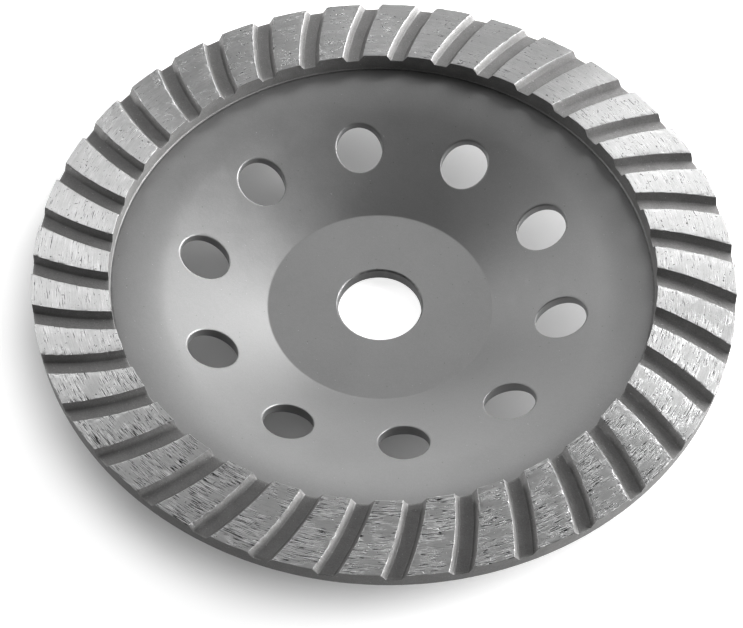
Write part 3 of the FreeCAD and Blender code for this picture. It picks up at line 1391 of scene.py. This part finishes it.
        def ring(distance: np.ndarray, line: np.ndarray, shift: float) -> np.ndarray:
            """Makes one ring of points round the hole.

            Args:
                distance: How far each point is from the hole's wall.
                line: The outline that the ring lies on.
                shift: How far it is above that outline.

            Returns:
                The ring's points.
            """
            flat = centre + heading * (self.vent_radius + distance)
            reach = np.hypot(flat[:, 0], flat[:, 1])
            height = np.interp(reach, line[:, 0], line[:, 1]) + shift
            return np.column_stack([flat, height])

        edge, room = self.vent_edge, length - self.vent_radius
        zero = np.zeros_like(room)
        spread = [edge + (room - edge) * share for share in self.web_shares]
        turns = np.linspace(0.0, math.pi / 2, self.edge_steps + 1)
        rings = [ring(distance, back_line, 0.0) for distance in spread]
        rings += [
            ring(zero + edge * (1 - math.cos(turn)), back_line, edge * (1 - math.sin(turn)))
            for turn in turns[::-1]
        ]
        low = rings[-1]
        high = ring(zero, front_line, -edge)
        rings += [low + (high - low) * share for share in self.wall_shares]
        rings += [
            ring(zero + edge * (1 - math.cos(turn)), front_line, -edge * (1 - math.sin(turn)))
            for turn in turns
        ]
        rings += [ring(distance, front_line, 0.0) for distance in spread[::-1]]
        return np.stack(rings)

    def sector(self) -> bpy.types.Mesh:
        """Makes the sector round one vent hole.

        Returns:
            The sector's mesh.
        """
        skin = Skin(f"{self.name} sector")
        skin.add(self._sweep(self._hub_line()))
        skin.add(self._sweep(self._flange_line()))
        skin.add(self._vent_patch())
        return skin.mesh()


@dataclass
class AbrasiveRim(Piece):
    """The sintered rim: teeth between swept grooves, whole under them."""

    name: str = "grooved_rim"
    count: int = 36
    chip_depth: float = 0.17
    chip_size: float = 0.55
    grain_depth: float = 0.05
    grain_size: float = 0.8
    seed: int = 11
    outer_radius: float = 89.98
    inner_radius: float = RIM_INNER
    top: float = 23.995
    top_line: float = 23.84
    bottom: float = SEAT_HEIGHT
    groove_width: float = 5.5
    groove_depth: float = 2.0
    draft: float = 30.0
    arc_radius: float = 80.0
    skew: float = 18.5
    groove_start: float = 0.3
    foot_radius: float = 0.35
    edge_radius: float = 0.10
    worn_radius: float = 0.24
    edge_steps: int = 3
    outer_inset: float = 0.12
    inner_inset: float = 0.03
    base_step: float = 2.0
    rows: int = 62
    row_bunching: float = 0.06
    tooth_columns: tuple[float, ...] = (0.03, 0.075, 0.15, 0.30, 0.5, 0.70, 0.85, 0.925, 0.97)
    groove_wall_rows: tuple[float, ...] = (0.33, 0.67)
    rim_wall_rows: tuple[float, ...] = (0.06, 0.2, 0.4, 0.6, 0.8, 0.94, 1.0)
    tooth_width: float = 8.4
    tooth_chip_reach: float = 0.55
    rim_chip: float = 0.8
    rim_chip_reach: float = 0.5
    wall_chip_reach: float = 0.8

    def _angle(self, arc: float, radius: np.ndarray) -> np.ndarray:
        """Finds where an arc round the groove's centre crosses circles of the wheel.

        Args:
            arc: The arc's radius.
            radius: The radii of the circles.

        Returns:
            The angle of each crossing.
        """
        middle = (self.outer_radius + self.inner_radius) / 2
        start = math.radians(self.groove_start)
        facing = math.radians(self.groove_start + 90.0 - self.skew)
        x = middle * math.cos(start) - self.arc_radius * math.cos(facing)
        y = middle * math.sin(start) - self.arc_radius * math.sin(facing)
        away = math.hypot(x, y)
        cosine = (radius**2 + away**2 - arc**2) / (2 * radius * away)
        return math.atan2(y, x) + np.arccos(cosine)

    def _groove_half(self, edge: float) -> list[tuple[float, float]]:
        """Returns half of the groove's section, from its middle to the top of a tooth.

        Args:
            edge: The radius of the tooth's edge.

        Returns:
            The section, as distances from the middle and heights.
        """
        half = self.groove_width / 2
        floor = self.top - self.groove_depth
        foot = half - self.groove_depth * math.tan(math.radians(self.draft))
        level = (self.groove_width, self.top)
        corners = [(0.0, floor), (foot, floor), (half, self.top), level]
        line = rounded(corners, [0, self.foot_radius, edge, 0], self.edge_steps)[:-1]
        split = self.edge_steps + 2
        foot_end, wall_end = np.array(line[split - 1]), np.array(line[split])
        wall = [tuple(foot_end + (wall_end - foot_end) * share) for share in self.groove_wall_rows]
        return line[:split] + wall + line[split:]

    def _columns(self, radius: np.ndarray) -> tuple[np.ndarray, np.ndarray, np.ndarray]:
        """Returns angle, height and chipping of the columns from one groove to the next.

        Args:
            radius: The radii of the wheel to read them at.

        Returns:
            The angles by radius and column, and the heights and the chipping by column.
        """
        worn, crisp = self._groove_half(self.worn_radius), self._groove_half(self.edge_radius)[::-1]
        pitch = math.tau / self.count
        near = [self._angle(self.arc_radius + offset, radius) for offset, _ in worn]
        far = [self._angle(self.arc_radius - offset, radius) + pitch for offset, _ in crisp]
        tooth = [near[-1] + (far[0] - near[-1]) * share for share in self.tooth_columns]
        low = self.top - self.groove_depth
        walls = [[z for _, z in worn], [z for _, z in crisp]]
        chips = [[max(0.0, (z - low) / self.groove_depth) ** 2 for z in wall] for wall in walls]
        away = [min(share, 1 - share) * self.tooth_width for share in self.tooth_columns]
        tooth_chips = [math.exp(-((gap / self.tooth_chip_reach) ** 2)) for gap in away]
        return (
            np.stack(near + tooth + far, axis=1),
            np.array(walls[0] + [self.top] * len(tooth) + walls[1]),
            np.array(chips[0] + tooth_chips + chips[1]),
        )

    def _wall(
        self, radius: float, inset: float, rows: tuple[float, ...]
    ) -> tuple[np.ndarray, np.ndarray]:
        """Returns the points and chipping of the ring's inner or outer wall.

        Args:
            radius: Its radius.
            inset: How far above the base it ends.
            rows: Its rows, as shares of its fall.

        Returns:
            The points by row, column and axis, and the chipping by row and column.
        """
        turn, height, chip = self._columns(np.array([radius]))
        high = height[None, :] - self.edge_radius
        fall = (high - self.bottom - inset) * np.array(rows)[:, None]
        z = high - fall
        points = np.stack([radius * np.cos(turn) + 0 * z, radius * np.sin(turn) + 0 * z, z], axis=-1)
        fade = np.exp(-((fall / self.wall_chip_reach) ** 2))
        return points, fade * np.maximum(self.rim_chip, chip[None, :])

    def _face(self) -> tuple[np.ndarray, np.ndarray]:
        """Makes the teeth and the groove between them, from the inside out.

        Returns:
            The points by row, column and axis, and the chipping by row and column.
        """
        edge = self.edge_radius
        turns = np.linspace(0.0, math.pi / 2, self.edge_steps + 1)
        lip_across, lip_drop = edge * (1 - np.cos(turns)), edge * (1 - np.sin(turns))
        width = self.outer_radius - self.inner_radius
        share = np.linspace(0, 1, self.rows)
        flat = edge + (width - 2 * edge) * (share - self.row_bunching * np.sin(math.tau * share))
        across = np.concatenate([lip_across, flat[1:-1], width - lip_across[::-1]])
        drops = np.concatenate([lip_drop, 0 * flat[1:-1], lip_drop[::-1]])
        radii = (self.inner_radius + across)[:, None]
        angles, heights, chips = self._columns(radii[:, 0])
        points = np.stack(
            [radii * np.cos(angles), radii * np.sin(angles), heights[None, :] - drops[:, None]], axis=-1
        )
        gap = np.minimum(across, width - across)[:, None]
        rim_chips = self.rim_chip * np.exp(-((gap / self.rim_chip_reach) ** 2))
        return points, np.maximum(chips[None, :], rim_chips)

    def sector(self) -> bpy.types.Mesh:
        """Makes the sector from the middle of one groove to the middle of the next.

        Returns:
            The sector's mesh.
        """
        face, face_chip = self._face()
        rows = self.rim_wall_rows
        outer_wall, outer_chip = self._wall(self.outer_radius, self.outer_inset, rows)
        inner_wall, inner_chip = self._wall(self.inner_radius, self.inner_inset, rows[::-1])
        reach = [
            self.outer_radius - self.outer_inset,
            self.outer_radius - self.base_step,
            self.inner_radius + self.inner_inset,
        ]
        reach = np.array(reach)[:, None]
        turn, _, _ = self._columns(reach[:, 0])
        base = np.stack(
            [reach * np.cos(turn), reach * np.sin(turn), self.bottom + 0 * turn], axis=-1
        )
        skin = Skin(f"{self.name} sector")
        skin.add(
            np.concatenate([face, outer_wall, base, inner_wall]),
            np.concatenate([face_chip, outer_chip, np.zeros(base.shape[:2]), inner_chip]),
            closed=True,
        )
        return skin.mesh()


@dataclass
class Grit:
    """Diamond crystals that stand a little out of the teeth."""

    name: str = "diamond_crystals"
    density: float = 0.30e6
    radius: float = 0.17
    ceiling: float = 23.999
    seed: int = 5

    def build(self, rim: bpy.types.Object, material: bpy.types.Material) -> bpy.types.Object:
        """Scatters the crystals over the teeth.

        Args:
            rim: The finished rim.
            material: What the crystals are made of.

        Returns:
            The crystals as one object.
        """
        made = place_object(self.name, rim.data.copy())
        source = made.data
        made.data = GritTree("crystal scatter", material).run(
            made,
            {
                TreeInput.DENSITY: self.density,
                TreeInput.CRYSTAL: self.radius * MM,
                TreeInput.CEILING: self.ceiling * MM,
                TreeInput.SEED: self.seed,
            },
        )
        bpy.data.meshes.remove(source)
        return made

    def dress(self, made: bpy.types.Object) -> None:
        """Ties the crystals to the frame.

        Args:
            made: The crystals' object.
        """
        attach(made, BODY)
        log.info("%s: %d faces", made.name, len(made.data.polygons))


# Stage


def toward(azimuth: float, elevation: float) -> Vector:
    """Turns two angles into a direction.

    Args:
        azimuth: Degrees from the +X axis, counterclockwise from above.
        elevation: Degrees above the floor.

    Returns:
        The direction, with a length of 1.
    """
    turn, rise = math.radians(azimuth), math.radians(elevation)
    flat = math.cos(rise)
    return Vector((flat * math.cos(turn), flat * math.sin(turn), math.sin(rise)))


@dataclass(frozen=True)
class SoftBox:
    """A soft lamp that faces the wheel."""

    name: str
    azimuth: float
    elevation: float
    distance: float
    width: float
    height: float
    power: float

    def build(self) -> bpy.types.Object:
        """Makes the lamp.

        Returns:
            The lamp.
        """
        lamp = bpy.data.lights.new(self.name, "AREA")
        lamp.shape = "RECTANGLE"
        lamp.size = self.width
        lamp.size_y = self.height
        lamp.energy = self.power
        away = toward(self.azimuth, self.elevation)
        made = bpy.data.objects.new(self.name, lamp)
        made.location = away * self.distance
        made.rotation_euler = (-away).to_track_quat("-Z", "Y").to_euler()
        made.visible_camera = False
        bpy.context.scene.collection.objects.link(made)
        return made


@dataclass
class Studio:
    """The floor, the lamps and the light all round."""

    floor_half: float = 30.0
    dim: float = 0.02
    bright: float = 0.20
    azimuth: float = 110.0
    elevation: float = 50.0
    backdrop_depth: Span = (-0.3, 0.3)
    backdrop_height: Span = (0.32, 0.18)
    lamps: tuple[SoftBox, ...] = (
        SoftBox("right", 4.0, 22.0, 1.2, 0.49, 0.40, 13.0),
        SoftBox("low right", 0.0, 7.0, 1.2, 0.49, 0.40, 7.0),
        SoftBox("right back", 21.0, 14.0, 1.2, 0.49, 0.40, 7.0),
        SoftBox("right front", 338.0, 9.0, 1.2, 0.49, 0.40, 3.8),
        SoftBox("key", 44.0, 25.0, 0.42, 0.24, 0.18, 0.88),
        SoftBox("low back", 96.0, 6.0, 1.2, 0.49, 0.49, 2.2),
        SoftBox("high back", 76.0, 40.0, 1.2, 0.49, 0.49, 1.6),
        SoftBox("high left", 126.0, 44.0, 1.2, 0.49, 0.49, 2.3),
        SoftBox("left", 166.0, 10.0, 1.2, 0.49, 0.50, 4.7),
    )

    def build(self) -> None:
        """Makes the floor, the lamps and the surround."""
        half = self.floor_half
        mesh = bpy.data.meshes.new("floor")
        corners = [(-half, -half, 0.0), (half, -half, 0.0), (half, half, 0.0), (-half, half, 0.0)]
        mesh.from_pydata(corners, [], [(0, 1, 2, 3)])
        mesh.materials.append(PaleFloor().build())
        place_object("floor", mesh)
        for lamp in self.lamps:
            lamp.build()
        self._surround()

    def _surround(self) -> None:
        """Makes the world: light that fades from the lit side, with a white backdrop low down."""
        world = bpy.data.worlds.new("surround")
        world.use_nodes = True
        world.node_tree.nodes.clear()
        graph = Graph(world.node_tree)
        direction = graph.add("ShaderNodeTexCoord", out="Generated")
        facing = graph.add(
            "ShaderNodeVectorMath",
            {"operation": "DOT_PRODUCT"},
            {0: direction, 1: toward(self.azimuth, self.elevation)},
            "Value",
        )
        soft = self.dim + self.bright * facing.floored()
        depth, height = graph.parts(direction, "YZ")
        seen = seen_ray(graph, depth.ramp(*self.backdrop_depth))
        backdrop = seen * height.ramp(*self.backdrop_height)
        strength = soft + backdrop * (1.0 - soft).floored()
        light = graph.add("ShaderNodeBackground", {}, {"Color": grey(1.0), "Strength": strength})
        graph.node("ShaderNodeOutputWorld", {}, {"Surface": light})
        bpy.context.scene.world = world


@dataclass
class PhotoCamera:
    """The camera, fitted to the photograph, with places in millimetres."""

    lens: float = 89.2
    elevation: float = 55.382
    roll: float = -2.61
    distance: float = 463.6
    target: tuple[float, float, float] = (-27.99, -15.57, 24.0)
    shift: float = 0.1302
    sensor: float = 36.0
    nearest: float = 10.0
    farthest: float = 100000.0

    def build(self) -> bpy.types.Object:
        """Makes the camera.

        Returns:
            The camera.
        """
        rise, roll = math.radians(self.elevation), math.radians(self.roll)
        back = Vector((0.0, -math.cos(rise), math.sin(rise)))
        right = Vector((1.0, 0.0, 0.0))
        up = back.cross(right)
        turned_right = math.cos(roll) * right + math.sin(roll) * up
        turned_up = math.cos(roll) * up - math.sin(roll) * right
        data = bpy.data.cameras.new("camera")
        data.lens = self.lens
        data.sensor_width = self.sensor
        data.shift_x = self.shift
        data.clip_start = self.nearest * MM
        data.clip_end = self.farthest * MM
        made = bpy.data.objects.new("camera", data)
        place = (Vector(self.target) + back * self.distance) * MM
        turn = Matrix((turned_right, turned_up, back)).transposed().to_4x4()
        made.matrix_world = Matrix.Translation(place) @ turn
        bpy.context.scene.collection.objects.link(made)
        bpy.context.scene.camera = made
        return made


def main() -> None:
    """Builds the camera, the studio and the wheel, in that order."""
    logging.basicConfig(level=logging.INFO, format="%(name)s %(message)s")
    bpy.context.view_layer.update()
    bpy.context.scene.view_settings.view_transform = "Standard"
    PhotoCamera().build()
    Studio().build()

    body, raw = SteelBody(), RawMatrix().build()
    body.dress(body.build(SilverPaint().build(), raw), Node.STEEL, Slot.PAINT)
    rim = AbrasiveRim()
    rim_made = rim.build(raw, DressedMetal().build())
    rim.dress(rim_made, Node.RIM, Slot.MATRIX)
    grit = Grit()
    grit.dress(grit.build(rim_made, DiamondGrit().build()))


if __name__ == "__main__":
    main()
